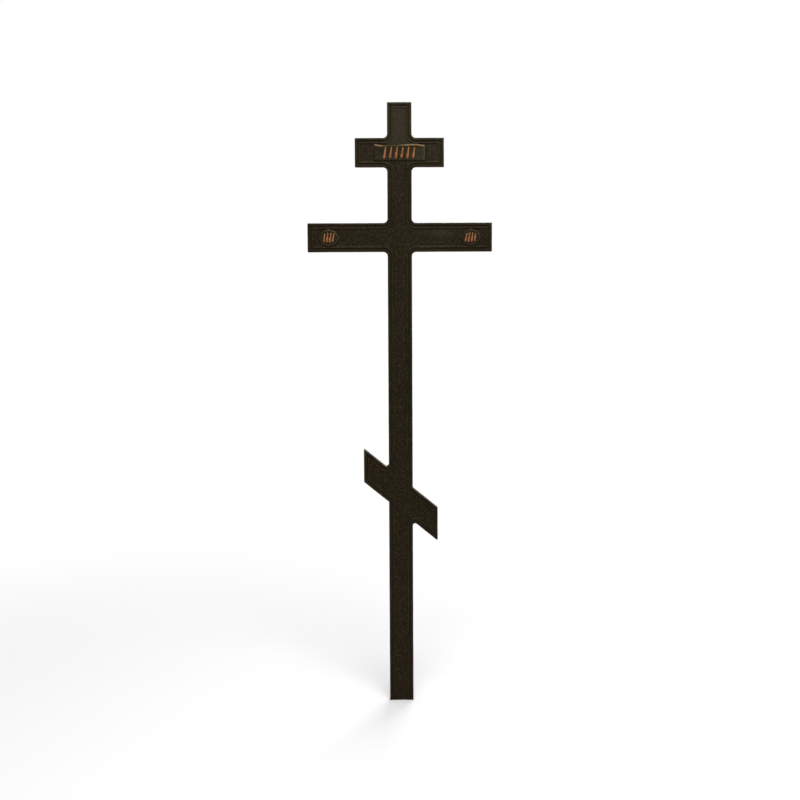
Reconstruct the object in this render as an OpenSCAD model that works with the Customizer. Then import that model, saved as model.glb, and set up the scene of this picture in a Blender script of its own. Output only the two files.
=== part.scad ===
// Three-barred grave cross: a one-piece iron panel with a flat back and a moulded rim round its
// face, a scroll-shaped title tablet on the top bar and a medallion near each end of the main bar.
// Millimetres. +Z is up and the face looks towards -Y. The origin is the middle of the foot's
// cut end, at ground level, half way through the panel's thickness.

/* [Cross] */
// Height of the cross above the ground
cross_h = 2000; // [1660:10:2400]
// Width of the upright
upright_w = 80; // [68:1:110]
// Thickness from the flat back to the front of the rim
body_d = 24; // [18:1:40]

/* [Straight bars] */
// Length of the main bar
main_l = 605; // [480:1:760]
// Length of the title bar at the top
title_l = 291; // [240:1:380]
// Height of both straight bars
bar_h = 95; // [80:1:125]
// From the top of the cross down to the title bar's centre line
title_drop = 162; // [130:1:200]
// From the title bar's centre line down to the main bar's
main_drop = 275; // [220:1:340]

/* [Slanted bar] */
// Width across the slanted bar, end to end
slant_l = 246; // [210:1:320]
// Thickness of the slanted bar, square to its slope
slant_t = 87.5; // [72:0.5:105]
// Slope of the slanted bar, falling from left to right
slant_angle = 39.2; // [20:0.2:44]
// From the main bar's centre line down to the slanted bar's centre
slant_drop = 856; // [640:1:960]

/* [Corners] */
// Fillet where a straight bar meets the upright
fillet_r = 14; // [4:0.5:24]
// Fillet in the two tight angles of the slanted bar
tight_fillet_r = 7.5; // [3:0.5:12]
// Fillet in the two wide angles of the slanted bar
wide_fillet_r = 2; // [1:0.5:8]
// Radius of the bars' and the head's outer corners
corner_r = 3; // [2:0.5:6]

/* [Rim moulding] */
// Rounding of the panel's front edge
arris_r = 3; // [1:0.5:5]
// Width of the flat land along the edge, with its rounding
land_w = 8; // [6:0.5:12]
// Width of the groove inside the land
groove_w = 5; // [3:0.5:7]
// Depth of the groove
groove_d = 3.4; // [2:0.2:5]
// Width of the half-round bead inside the groove
bead_w = 6; // [4:0.5:8]
// Depth of the flat field below the front of the rim
field_d = 2.8; // [1.6:0.2:4]
// Chamfer round the back
back_chamfer = 2; // [1:0.5:4]

/* [Plaques] */
// Space left between the rim's bead and a plaque's top and bottom
plaque_gap = 0.5; // [0.5:0.5:4]
// Width of a raised stroke at its broad foot
stroke_w = 6.5; // [4:0.5:8]
// How far the strokes stand in front of their plaque
stroke_d = 1.5; // [0.5:0.5:2.5]

/* [Title tablet] */
// Length of the tablet
tablet_l = 164; // [120:1:190]
// Thickness of the tablet's plate
tablet_t = 4.5; // [3:0.5:8]
// Height of the rolled lip along the tablet's top edge
lip_h = 7.5; // [4:0.5:9]
// How far the rolled lip stands in front of the plate
lip_d = 4; // [1:0.5:5]
// Bare length at each end of the tablet, up to the outer strokes' middles
tablet_bare = 35; // [20:1:45]
// Bare height under the tablet's strokes
tablet_under = 5; // [3:0.5:9]

/* [Medallions] */
// From the main bar's end to a medallion's centre
medallion_from_end = 70; // [60:1:110]
// Width of a medallion between its side points
medallion_w = 67; // [50:1:74]
// Thickness of a medallion inside its rim
medallion_t = 4; // [3:0.5:7]
// Width of a medallion's raised rim
medallion_rim_w = 4; // [2:0.5:6]
// How far the rim stands in front of the medallion's face
medallion_rim_d = 2; // [1:0.5:3]
// Bare height between the rim and the longest strokes
medallion_bare = 8; // [5:0.5:12]

/* [Hidden] */

iron = "#2a251d";
copper = "#9a5f3a";

title_z = cross_h - title_drop;
main_z = title_z - main_drop;
slant_z = main_z - slant_drop;

front_y = -body_d / 2;
field_y = front_y + field_d;
// The field starts this far in from the edge, and every plaque's height fits between its beads.
field_inset = land_w + groove_w + bead_w;
plaque_h = bar_h - 2 * (field_inset + plaque_gap);

// An outer corner keeps at least this radius however far the rim is followed inwards.
least_r = 1;
// Straight pieces in each kind of rounded corner.
outer_steps = 3;
fillet_steps = 6;
wide_steps = 3;
// Straight pieces in the front edge's rounding and in the bead.
arris_steps = 2;
bead_steps = 4;
// Width of the groove's sloping outer wall.
groove_wall_w = 1.2;

// ---- The panel's outline ----------------------------------------------------------------
// A corner is [x, z, radius, straight pieces in its arc]. The outline starts at the foot's
// right-hand side, runs up the right, over the head and down the left.

// Right-hand corners of a straight bar, from below.
function straight_bar(length, z) = [
    [upright_w / 2, z - bar_h / 2, fillet_r, fillet_steps],
    [length / 2, z - bar_h / 2, corner_r, outer_steps],
    [length / 2, z + bar_h / 2, corner_r, outer_steps],
    [upright_w / 2, z + bar_h / 2, fillet_r, fillet_steps],
];

// Height of the slanted bar's lower (side -1) or upper (side 1) edge at x.
function slant_edge(x, side) =
    slant_z + side * slant_t / 2 / cos(slant_angle) - x * tan(slant_angle);

// Right-hand corners of the slanted bar, from below: the tight angle is under its low end.
slant_right = [
    [upright_w / 2, slant_edge(upright_w / 2, -1), tight_fillet_r, fillet_steps],
    [slant_l / 2, slant_edge(slant_l / 2, -1), corner_r, outer_steps],
    [slant_l / 2, slant_edge(slant_l / 2, 1), corner_r, outer_steps],
    [upright_w / 2, slant_edge(upright_w / 2, 1), wide_fillet_r, wide_steps],
];

// The same corners on the left, from above: a straight bar's are mirrored, and the slanted
// bar's are turned half round its centre.
function mirrored(corners) = [for (i = [len(corners) - 1:-1:0])
    [-corners[i][0], corners[i][1], corners[i][2], corners[i][3]]];
function half_turned(corners) = [for (c = corners)
    [-c[0], 2 * slant_z - c[1], c[2], c[3]]];

main_right = straight_bar(main_l, main_z);
title_right = straight_bar(title_l, title_z);

corners = concat(
    slant_right,
    main_right,
    title_right,
    [[upright_w / 2, cross_h, corner_r, outer_steps], [-upright_w / 2, cross_h, corner_r, outer_steps]],
    mirrored(title_right),
    mirrored(main_right),
    half_turned(slant_right)
);
foot_right = [upright_w / 2, 0];
foot_left = [-upright_w / 2, 0];

function unit(v) = v / norm(v);
// Square to v, on its left.
function left_of(v) = [-v[1], v[0]];
function turned(v, a) = [v[0] * cos(a) - v[1] * sin(a), v[0] * sin(a) + v[1] * cos(a)];

// One corner of the outline moved inwards by inset and rounded: the arc's points. Going round
// with the panel on the left, a left turn is an outer corner and a right turn a fillet.
function rounded_corner(before, corner, after, inset) =
    let (
        at = [corner[0], corner[1]],
        u = unit(at - before),
        v = unit(after - at),
        turn = atan2(cross(u, v), u * v),
        side = turn > 0 ? 1 : -1,
        r = turn > 0 ? max(corner[2] - inset, least_r) : corner[2] + inset,
        inwards = (left_of(u) + left_of(v)) / (1 + u * v),
        centre = at + (inset + side * r) * inwards,
        steps = corner[3]
    )
    [for (i = [0:steps]) centre - side * r * turned(left_of(u), turn * i / steps)];

function place(i) =
    i < 0 ? foot_right : i == len(corners) ? foot_left : [corners[i][0], corners[i][1]];

// The whole outline at one inset, from foot to foot. The foot's ends stay at ground level.
function outline(inset) = concat(
    [foot_right - [inset, 0]],
    [for (i = [0:len(corners) - 1])
        each rounded_corner(place(i - 1), corners[i], place(i + 1), inset)],
    [foot_left + [inset, 0]]
);

// ---- The panel's section ----------------------------------------------------------------
// [inset from the outline, y], from the back, over the rim, to the field.
bead_centre = field_inset - bead_w / 2;
section = concat(
    [[back_chamfer, body_d / 2], [0, body_d / 2 - back_chamfer]],
    [for (i = [0:arris_steps])
        let (a = 90 * i / arris_steps)
        [arris_r * (1 - cos(a)), front_y + arris_r * (1 - sin(a))]],
    [[land_w, front_y], [land_w + groove_wall_w, front_y + groove_d]],
    [for (i = [0:bead_steps])
        let (a = 180 * i / bead_steps, foot_d = a < 90 ? groove_d : field_d)
        [bead_centre - bead_w / 2 * cos(a), front_y + foot_d * (1 - sin(a))]]
);

// Places in the section: where the front edge's rounding starts, and the groove's two lower edges.
arris_at = 2;
floor_at = arris_at + arris_steps + 2;
bead_at = floor_at + 1;
field_at = bead_at + bead_steps;

// ---- Closing the panel ------------------------------------------------------------------
// The outline's points up its right-hand side, counted from the foot, pair with those up its
// left. These are the last point of the foot, of each bar and of the head.
slant_points = fillet_steps + 2 * outer_steps + wide_steps + 4;
bar_points = 2 * fillet_steps + 2 * outer_steps + 4;
slant_last = slant_points;
main_last = slant_last + bar_points;
title_last = main_last + bar_points;
head_last = title_last + outer_steps + 1;
count = 2 * (head_last + 1);

// The back and the field are cut across the upright into the bars, the lengths of upright
// between them and the head. Each piece can be seen whole from its middle.
pieces = [
    [0, 1],
    [1, slant_last],
    [slant_last, slant_last + 1],
    [slant_last + 1, main_last],
    [main_last, main_last + 1],
    [main_last + 1, title_last],
    [title_last, head_last],
];

// A piece's points, up the right and down the left.
function piece_loop(piece) = concat(
    [for (i = [piece[0]:piece[1]]) i],
    [for (i = [piece[1]:-1:piece[0]]) count - 1 - i]
);
function piece_middle(ring, piece) =
    (ring[piece[0]] + ring[piece[1]] + ring[count - 1 - piece[0]] + ring[count - 1 - piece[1]]) / 4;

// Triangles from a middle point to each side of a loop of points.
function fan(middle, loop) = [for (i = [0:len(loop) - 1])
    [middle, loop[i], loop[(i + 1) % len(loop)]]];
function turned_over(triangles) = [for (t = triangles) [t[0], t[2], t[1]]];

// The section carried round the outline, closed by the back, the field and the foot's end.
module cross_body() {
    rings = [for (s = section) [for (p = outline(s[0])) [p[0], s[1], p[1]]]];
    back_middles = [for (piece = pieces) piece_middle(rings[0], piece)];
    field_middles = [for (piece = pieces) piece_middle(rings[field_at], piece)];
    back_from = len(rings) * count;
    field_from = back_from + len(pieces);
    foot_middle = field_from + len(pieces);
    walls = [for (k = [0:field_at - 1], i = [0:count - 2])
        let (a = k * count + i, b = a + count)
        each [[b, b + 1, a + 1], [b, a + 1, a]]];
    back = [for (n = [0:len(pieces) - 1])
        each fan(back_from + n, piece_loop(pieces[n]))];
    field = [for (n = [0:len(pieces) - 1])
        each turned_over(fan(field_from + n, [for (i = piece_loop(pieces[n])) field_at * count + i]))];
    // The foot's end: the block behind the groove's floor, then the land and the bead each side.
    block = [0, 1, arris_at, floor_at, bead_at, field_at];
    foot_block = turned_over(fan(foot_middle, concat(
        [for (k = block) k * count],
        [for (n = [len(block) - 1:-1:0]) block[n] * count + count - 1]
    )));
    land = [for (k = [arris_at + 1:floor_at - 1]) [arris_at, k, k + 1]];
    bead = [for (k = [bead_at + 1:field_at - 1]) [bead_at, k, k + 1]];
    foot_right_end = [for (t = concat(land, bead)) [t[0] * count, t[2] * count, t[1] * count]];
    foot_left_end = [for (t = concat(land, bead)) [for (k = t) k * count + count - 1]];
    color(iron)
        polyhedron(
            points = concat([for (ring = rings) each ring], back_middles, field_middles, [[0, 0, 0]]),
            faces = concat(walls, back, field, foot_block, foot_right_end, foot_left_end)
        );
}

// ---- The plaques ------------------------------------------------------------------------

// A flat shape in x and z made solid from the field forwards: from low to high in front of it.
module in_front(low, high)
    translate([0, field_y - low, 0])
        rotate([90, 0, 0])
            linear_extrude(height = high - low)
                children();

// One raised stroke: a leaning wedge, pointed above and broad near its foot.
stroke_foot = 0.3;
module stroke(length, lean)
    rotate(-lean)
        polygon([
            [0, length / 2],
            [stroke_w / 2, -stroke_foot * length],
            [0, -length / 2],
            [-stroke_w / 2, -stroke_foot * length],
        ]);
stroke_lean = 9;

// Shares of the tablet's height, from its middle: where its top edge turns at t, from 0 at the
// left end to 1 at the right, and its straight bottom edge. The top stands up at the left end,
// dips, swells again and falls away at the right.
top_turns = [[0, 0.5], [0.2, 0.42], [0.82, 0.5], [1, 0.44]];
bottom_share = -0.45;
tablet_steps = 24;
// How far the right-hand end swells outwards.
end_swell = 2.5;
end_steps = 6;

function eased(a, b, t) = a + (b - a) * (1 - cos(180 * t)) / 2;
function top_share(t, i = 0) =
    t <= top_turns[i + 1][0] || i == len(top_turns) - 2
    ? eased(
        top_turns[i][1],
        top_turns[i + 1][1],
        (t - top_turns[i][0]) / (top_turns[i + 1][0] - top_turns[i][0])
    )
    : top_share(t, i + 1);

tablet_bottom = bottom_share * plaque_h;
tablet_right_top = top_share(1) * plaque_h;

// Points along the tablet's top edge, lowered by drop, from left to right.
function top_edge(drop) = [for (i = [0:tablet_steps])
    let (t = i / tablet_steps)
    [(t - 0.5) * tablet_l, top_share(t) * plaque_h - drop]];

// Points down the swelling right-hand end, between the top edge and the bottom.
right_end = [for (i = [1:end_steps - 1])
    let (t = i / end_steps)
    [tablet_l / 2 + end_swell * sin(180 * t), tablet_right_top + t * (tablet_bottom - tablet_right_top)]];

module tablet_shape()
    polygon(concat(
        top_edge(0),
        right_end,
        [[tablet_l / 2, tablet_bottom], [-tablet_l / 2, tablet_bottom]]
    ));

module lip_shape() {
    lower = top_edge(lip_h);
    polygon(concat(top_edge(0), [for (i = [tablet_steps:-1:0]) lower[i]]));
}

// A row of strokes, alternately long and a little shorter, that run from near the bottom edge up
// into the lip.
tablet_strokes = 6;
short_stroke = 0.9;
module tablet_marks() {
    foot = tablet_bottom + tablet_under;
    length = top_turns[1][1] * plaque_h - lip_h / 2 - foot;
    pitch = (tablet_l - 2 * tablet_bare) / (tablet_strokes - 1);
    for (i = [0:tablet_strokes - 1])
        translate([i * pitch + tablet_bare - tablet_l / 2, foot + length / 2])
            stroke(i % 2 == 0 ? length : short_stroke * length, stroke_lean);
}

module title_tablet()
    translate([0, 0, title_z]) {
        color(iron) {
            in_front(0, tablet_t) tablet_shape();
            in_front(0, tablet_t + lip_d) lip_shape();
        }
        color(copper)
            in_front(0, tablet_t + stroke_d) tablet_marks();
    }

// Eight-cornered shape, with its side, top and bottom corners drawn out, moved inwards by inset.
shoulder_x = 0.69;
shoulder_z = 0.68;
module medallion_shape(inset) {
    a = medallion_w / 2 - inset;
    b = plaque_h / 2 - inset;
    polygon([
        [a, 0],
        [a * shoulder_x, b * shoulder_z],
        [0, b],
        [-a * shoulder_x, b * shoulder_z],
        [-a, 0],
        [-a * shoulder_x, -b * shoulder_z],
        [0, -b],
        [a * shoulder_x, -b * shoulder_z],
    ]);
}

// A row of strokes, shorter away from the middle. The lean grows along the row by fan.
medallion_strokes = 4;
medallion_pitch_share = 0.15;
stroke_shortening = 0.12;
module medallion_marks(fan) {
    length = plaque_h - 2 * (medallion_rim_w + medallion_bare);
    for (i = [0:medallion_strokes - 1])
        let (from_middle = i - (medallion_strokes - 1) / 2)
        translate([from_middle * medallion_pitch_share * medallion_w, 0])
            stroke(length * (1 - stroke_shortening * abs(from_middle)), stroke_lean + fan * from_middle);
}

module medallion(x, fan)
    translate([x, 0, main_z]) {
        color(iron) {
            in_front(0, medallion_t) medallion_shape(0);
            in_front(0, medallion_t + medallion_rim_d)
                difference() {
                    medallion_shape(0);
                    medallion_shape(medallion_rim_w);
                }
        }
        color(copper)
            in_front(0, medallion_t + stroke_d) medallion_marks(fan);
    }

medallion_x = main_l / 2 - medallion_from_end;
module left_medallion() medallion(-medallion_x, 3);
module right_medallion() medallion(medallion_x, -3);

cross_body();
title_tablet();
left_medallion();
right_medallion();
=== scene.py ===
"""Looks of a three-barred iron grave cross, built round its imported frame.

Everything is in metres and in the frame's own axes: +Z runs up the upright, -Y comes out of the
moulded face and the origin is the middle of the foot's cut end. The cross is one casting with a
moulded rim; a scroll tablet and two medallions are seated on its sunk field.
"""

import sys
import logging
import math
from dataclasses import dataclass, field
from enum import Enum

import bmesh
import bpy
import numpy as np
from mathutils import Euler, Matrix, Vector


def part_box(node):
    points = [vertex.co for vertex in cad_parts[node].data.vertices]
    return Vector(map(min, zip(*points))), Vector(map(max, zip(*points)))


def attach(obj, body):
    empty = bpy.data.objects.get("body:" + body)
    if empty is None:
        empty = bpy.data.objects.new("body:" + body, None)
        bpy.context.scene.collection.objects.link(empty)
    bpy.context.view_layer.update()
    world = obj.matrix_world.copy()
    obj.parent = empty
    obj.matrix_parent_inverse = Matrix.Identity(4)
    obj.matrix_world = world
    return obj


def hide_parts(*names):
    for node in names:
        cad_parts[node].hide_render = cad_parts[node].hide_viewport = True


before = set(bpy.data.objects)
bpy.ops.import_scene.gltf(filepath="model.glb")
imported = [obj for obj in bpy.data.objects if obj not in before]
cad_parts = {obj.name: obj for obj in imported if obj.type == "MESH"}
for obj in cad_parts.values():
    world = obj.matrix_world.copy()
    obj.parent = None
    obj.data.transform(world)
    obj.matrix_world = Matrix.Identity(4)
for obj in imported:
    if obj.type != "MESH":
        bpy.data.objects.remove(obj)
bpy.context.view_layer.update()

BODY = "root"
STROKE_LEAN = math.radians(9.0)
BAR_CORNERS = 4  # on each side of the upright
BOX_CORNERS = (0, 6)  # the lowest and the highest of a bounding box's eight

Array = np.ndarray
Colour = tuple[float, float, float]

log = logging.getLogger("grave_cross")


class Slot(Enum):
    """The record's material slots."""

    BLACK_IRON = "black_iron"
    PLAQUE_IRON = "plaque_iron"
    COPPER_MARKS = "copper_marks"


class Side(Enum):
    """Which end of the main bar a medallion is on, as the sign of its x."""

    LEFT = -1
    RIGHT = 1

    @property
    def node(self) -> str:
        """The medallion's CAD node."""
        return f"{self.name.lower()}_medallion"


# ---- Curves and surfaces ------------------------------------------------------------------


def smooth(t: Array) -> Array:
    """Ease from 0 to 1 as t goes from 0 to 1: 3 t squared less 2 t cubed, flat outside.

    Args:
        t: Where along the step each value lies.

    Returns:
        The eased values.
    """
    t = np.clip(t, 0.0, 1.0)
    return t * t * (3.0 - 2.0 * t)


def eased(x: Array, start: float, end: float) -> Array:
    """Ease from 0 to 1 as x goes from the start to the end, by the curve of smooth.

    Args:
        x: Where to work it out.
        start: Where the step begins.
        end: Where it ends.

    Returns:
        The eased values.
    """
    return smooth((x - start) / (end - start))


def hump(x: Array, centre: float, width: float | Array) -> Array:
    """Bell curve: e to the power of minus the squared distance from the centre in widths.

    Args:
        x: Where to work it out.
        centre: Where the bell stands.
        width: Distance from the centre at which it has fallen to about a third.

    Returns:
        Heights from 0 to 1.
    """
    return np.exp(-(((x - centre) / width) ** 2))


def dome(x: Array, half_width: float | Array) -> Array:
    """Half circle's height as a share: the root of one less the squared distance in half-widths.

    Args:
        x: Distance from the middle.
        half_width: Distance from the middle at which it meets the ground.

    Returns:
        Heights from 0 to 1, and 0 outside.
    """
    return np.sqrt(np.clip(1.0 - (x / half_width) ** 2, 0.0, 1.0))


def quarter(centre: tuple[float, float], radius: float, start: float, steps: int) -> Array:
    """Quarter circle from angle start, turning clockwise: centre plus radius times (cos, sin).

    Args:
        centre: Middle of the circle.
        radius: Its radius.
        start: First angle, in degrees.
        steps: Straight pieces in the quarter.

    Returns:
        Points, one row each.
    """
    a = np.radians(start - np.linspace(0.0, 90.0, steps + 1))
    return np.array(centre) + radius * np.stack([np.cos(a), np.sin(a)], axis=1)


def quads(index: Array) -> Array:
    """Four-sided faces between the neighbouring rows and columns of a grid of point numbers.

    Args:
        index: Point numbers, as rows and columns.

    Returns:
        One row of four point numbers for each face.
    """
    corners = [index[:-1, :-1], index[:-1, 1:], index[1:, 1:], index[1:, :-1]]
    return np.stack(corners, axis=-1).reshape(-1, 4)


@dataclass(frozen=True)
class CastSkin:
    """The slow hollows and swells that a sand mould leaves in a flat face."""

    seed: int
    depth: float = 0.00032
    waves: int = 30
    longest: float = 0.22
    shortest: float = 0.022

    def at(self, x: Array, z: Array) -> Array:
        """Depth of the hollows: a sum of cosines over the face, moved and scaled to 0 .. depth.

        Each cosine has its own direction, wavelength and phase, and longer waves weigh more.

        Args:
            x: Across the face.
            z: Up the face.

        Returns:
            How far each point lies below the true face.
        """
        draw = np.random.default_rng(self.seed)
        heading = draw.uniform(0.0, 2.0 * math.pi, self.waves)
        phase = draw.uniform(0.0, 2.0 * math.pi, self.waves)
        ratio = (self.longest / self.shortest) ** draw.uniform(0.0, 1.0, self.waves)
        turns = 2.0 * math.pi / (self.shortest * ratio)
        weight = np.sqrt(ratio)
        total = np.zeros(np.shape(x))
        for k, h, p, w in zip(turns, heading, phase, weight):
            total += w * np.cos(k * (x * math.cos(h) + z * math.sin(h)) + p)
        spread = math.sqrt(2.0 * float((weight**2).sum()))
        return self.depth * (0.5 + 0.5 * np.clip(total / spread, -1.0, 1.0))


class Surface:
    """Points, faces and point attributes gathered from several grids into one mesh."""

    def __init__(self) -> None:
        """Start with no points, no faces and the three named marks."""
        self.points: list[Array] = []
        self.faces: list[list[int]] = []
        self.marks: dict[str, list[Array]] = {"wear_and_highlight": [], "grime": [], "painted_sheen": []}
        self.count = 0

    def add(
        self,
        points: Array,
        wear_and_highlight: Array | float = 0.0,
        grime: Array | float = 0.0,
        painted_sheen: Array | float = 0.0,
    ) -> Array:
        """Add a grid of points.

        Args:
            points: The points, in any grid, with x, y and z last.
            wear_and_highlight: How rubbed each one is, from 0 to 1; on the plaques it also carries painted
                highlight.
            grime: How dirty each one is, from 0 to 1.
            painted_sheen: How much painted sheen lightens its coat, standing in for reflected light, from
                0 to 1.

        Returns:
            The points' numbers, in the same grid.
        """
        shape = points.shape[:-1]
        total = int(np.prod(shape))
        self.points.append(points.reshape(-1, 3))
        for name, value in (("wear_and_highlight", wear_and_highlight), ("grime", grime), ("painted_sheen", painted_sheen)):
            self.marks[name].append(np.broadcast_to(value, shape).reshape(-1))
        first = self.count
        self.count += total
        return np.arange(first, self.count).reshape(shape)

    def join(self, faces: Array) -> None:
        """Add faces, one row of point numbers each."""
        self.faces.extend(faces.tolist())

    def cap(self, loop: Array) -> None:
        """Close a flat hole by one face round a loop of point numbers."""
        self.faces.append(loop.tolist())

    def fan(self, middle: int, loop: Array) -> None:
        """Close a round hole by triangles from a middle point to each side of a loop.

        Args:
            middle: The middle point's number.
            loop: The loop's point numbers, in order.
        """
        after = np.roll(loop, -1)
        self.join(np.stack([np.full(len(loop), middle), loop, after], axis=1))

    def sink(self, skin: CastSkin, share: Array) -> None:
        """Move every point along y by its share of a cast skin's depth.

        Args:
            skin: The skin.
            share: For each point, from 1 on the front to -1 on the back.
        """
        points = np.concatenate(self.points)
        points[:, 1] += share * skin.at(points[:, 0], points[:, 2])
        self.points = [points]

    def piece(self, name: str, sharp: float = 35.0) -> bpy.types.Object:
        """Make the mesh and its object, with faces outward and smooth between sharp edges.

        Args:
            name: The object's name.
            sharp: Edges that turn by more degrees than this stay sharp.

        Returns:
            The new object, in the scene, with its origin at the frame's.
        """
        mesh = bpy.data.meshes.new(name)
        mesh.from_pydata(np.concatenate(self.points).tolist(), [], self.faces)
        for mark, values in self.marks.items():
            attribute = mesh.attributes.new(mark, "FLOAT", "POINT")
            attribute.data.foreach_set("value", np.concatenate(values).astype(np.float32))
        work = bmesh.new()
        work.from_mesh(mesh)
        bmesh.ops.recalc_face_normals(work, faces=work.faces)
        work.to_mesh(mesh)
        work.free()
        mesh.polygons.foreach_set("use_smooth", np.ones(len(mesh.polygons), bool))
        mesh.set_sharp_from_angle(angle=math.radians(sharp))
        made = bpy.data.objects.new(name, mesh)
        bpy.context.scene.collection.objects.link(made)
        return made


# ---- Finishes -----------------------------------------------------------------------------


@dataclass(frozen=True)
class Noise:
    """A cloudy noise: one cloud's rough width, octaves of finer noise and how strongly they show."""

    size: float
    detail: float
    rough: float


@dataclass(frozen=True)
class Ramp:
    """An amount that goes smoothly from first to last as what it follows goes from low to high."""

    low: float
    high: float
    first: float = 0.0
    last: float = 1.0


class Graph:
    """A material's node tree, with short ways to add and wire nodes."""

    def __init__(self, name: str) -> None:
        """Make a node material with an output, a principled shader and Object coordinates.

        Args:
            name: The material's name.
        """
        self.material = bpy.data.materials.new(name)
        self.material.use_nodes = True
        self.tree = self.material.node_tree
        self.tree.nodes.clear()
        self.output = self.tree.nodes.new("ShaderNodeOutputMaterial")
        self.shader = self.tree.nodes.new("ShaderNodeBsdfPrincipled")
        self.tree.links.new(self.shader.outputs["BSDF"], self.output.inputs["Surface"])
        place = self.tree.nodes.new("ShaderNodeTexCoord")
        self.place = place.outputs["Object"]

    def wire(self, value: object, socket: bpy.types.NodeSocket) -> None:
        """Link an output to a socket, or set the socket if the value isn't an output.

        Args:
            value: An output, a number or a colour.
            socket: The input that takes it.
        """
        if isinstance(value, bpy.types.NodeSocket):
            self.tree.links.new(value, socket)
        else:
            socket.default_value = value

    def noise(self, noise: Noise) -> bpy.types.NodeSocket:
        """Spread a noise over the object.

        Args:
            noise: Its sizes.

        Returns:
            Values about 0.5, mostly from 0.3 to 0.7.
        """
        node = self.tree.nodes.new("ShaderNodeTexNoise")
        self.tree.links.new(self.place, node.inputs["Vector"])
        node.inputs["Scale"].default_value = 1.0 / noise.size
        node.inputs["Detail"].default_value = noise.detail
        node.inputs["Roughness"].default_value = noise.rough
        return node.outputs["Fac"]

    def ramp(self, value: bpy.types.NodeSocket, ramp: Ramp) -> bpy.types.NodeSocket:
        """Turn a value into an amount by a ramp, which goes no further than its two ends.

        Args:
            value: The output that the amount follows.
            ramp: The ramp.

        Returns:
            The amount's output.
        """
        node = self.tree.nodes.new("ShaderNodeMapRange")
        node.interpolation_type = "SMOOTHSTEP"
        ends = {"From Min": ramp.low, "From Max": ramp.high, "To Min": ramp.first, "To Max": ramp.last}
        for name, end in ends.items():
            node.inputs[name].default_value = end
        self.wire(value, node.inputs["Value"])
        return node.outputs["Result"]

    def maths(self, kind: str, first: object, second: object) -> bpy.types.NodeSocket:
        """One sum, product or other operation on two values.

        Args:
            kind: The operation, such as MULTIPLY.
            first: A number or an output.
            second: A number or an output.

        Returns:
            The result's output.
        """
        node = self.tree.nodes.new("ShaderNodeMath")
        node.operation = kind
        self.wire(first, node.inputs[0])
        self.wire(second, node.inputs[1])
        return node.outputs["Value"]

    def mixed(self, share: object, first: object, second: object) -> bpy.types.NodeSocket:
        """Blend two colours.

        Args:
            share: How much of the second, from 0 to 1.
            first: A colour or an output.
            second: A colour or an output.

        Returns:
            The blend's output.
        """
        node = self.tree.nodes.new("ShaderNodeMix")
        node.data_type = "RGBA"
        self.wire(share, node.inputs["Factor"])
        for name, value in (("A", first), ("B", second)):
            socket = next(s for s in node.inputs if s.name == name and s.type == "RGBA")
            self.wire((*value, 1.0) if isinstance(value, tuple) else value, socket)
        return next(o for o in node.outputs if o.type == "RGBA")

    def height(self) -> bpy.types.NodeSocket:
        """Height above the ground.

        Returns:
            The output that gives it, in metres.
        """
        node = self.tree.nodes.new("ShaderNodeSeparateXYZ")
        self.tree.links.new(self.place, node.inputs["Vector"])
        return node.outputs["Z"]

    def mark(self, name: str) -> bpy.types.NodeSocket:
        """A piece's own point attribute, such as its wear.

        Args:
            name: The attribute's name.

        Returns:
            The output that gives it.
        """
        node = self.tree.nodes.new("ShaderNodeAttribute")
        node.attribute_name = name
        return node.outputs["Fac"]

    def bump(
        self, noise: Noise, depth: float, under: bpy.types.NodeSocket | None = None
    ) -> bpy.types.NodeSocket:
        """Fine relief from a noise.

        Args:
            noise: The noise that raises it.
            depth: Depth of the relief, in metres.
            under: Coarser relief that it lies on, if any.

        Returns:
            The normal's output.
        """
        node = self.tree.nodes.new("ShaderNodeBump")
        node.inputs["Strength"].default_value = 1.0
        node.inputs["Distance"].default_value = depth
        self.wire(self.noise(noise), node.inputs["Height"])
        if under is not None:
            self.wire(under, node.inputs["Normal"])
        return node.outputs["Normal"]


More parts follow.
